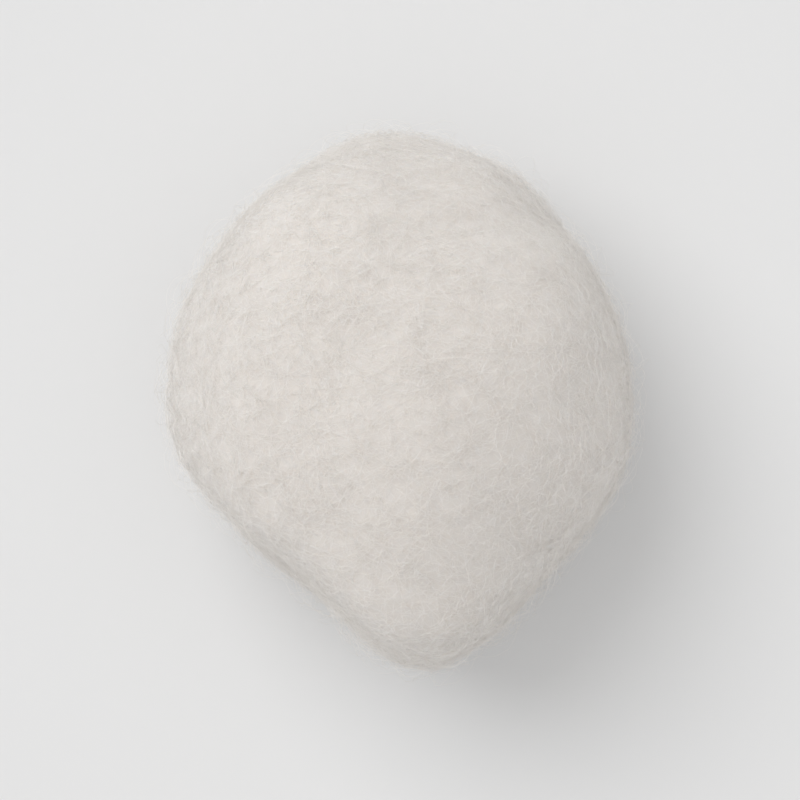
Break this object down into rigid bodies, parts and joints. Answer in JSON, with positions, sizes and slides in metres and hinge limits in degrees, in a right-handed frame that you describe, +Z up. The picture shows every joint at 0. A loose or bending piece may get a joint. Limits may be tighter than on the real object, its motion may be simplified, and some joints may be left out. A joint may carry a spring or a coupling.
{
  "type": "cotton ball",
  "caption": "Soft rolled ball of carded cotton with tucked ends, gently flattened sides and a small flat underneath that it rests on.",
  "frame": {"origin": "on the plane that the ball rests on, under the middle of its outline seen from above", "axes": "+Z up from the resting plane, +Y along the roll and away from its lifted, tapered end, +X across the roll"},
  "size_m": [0.0354, 0.0412, 0.0312],
  "materials": {
    "cotton": "matte loose cotton fibre, warm off-white, with a soft fuzzy surface and no gloss"
  },
  "bodies": {
    "root": {"cotton_ball": "cotton"}
  },
  "joints": []
}
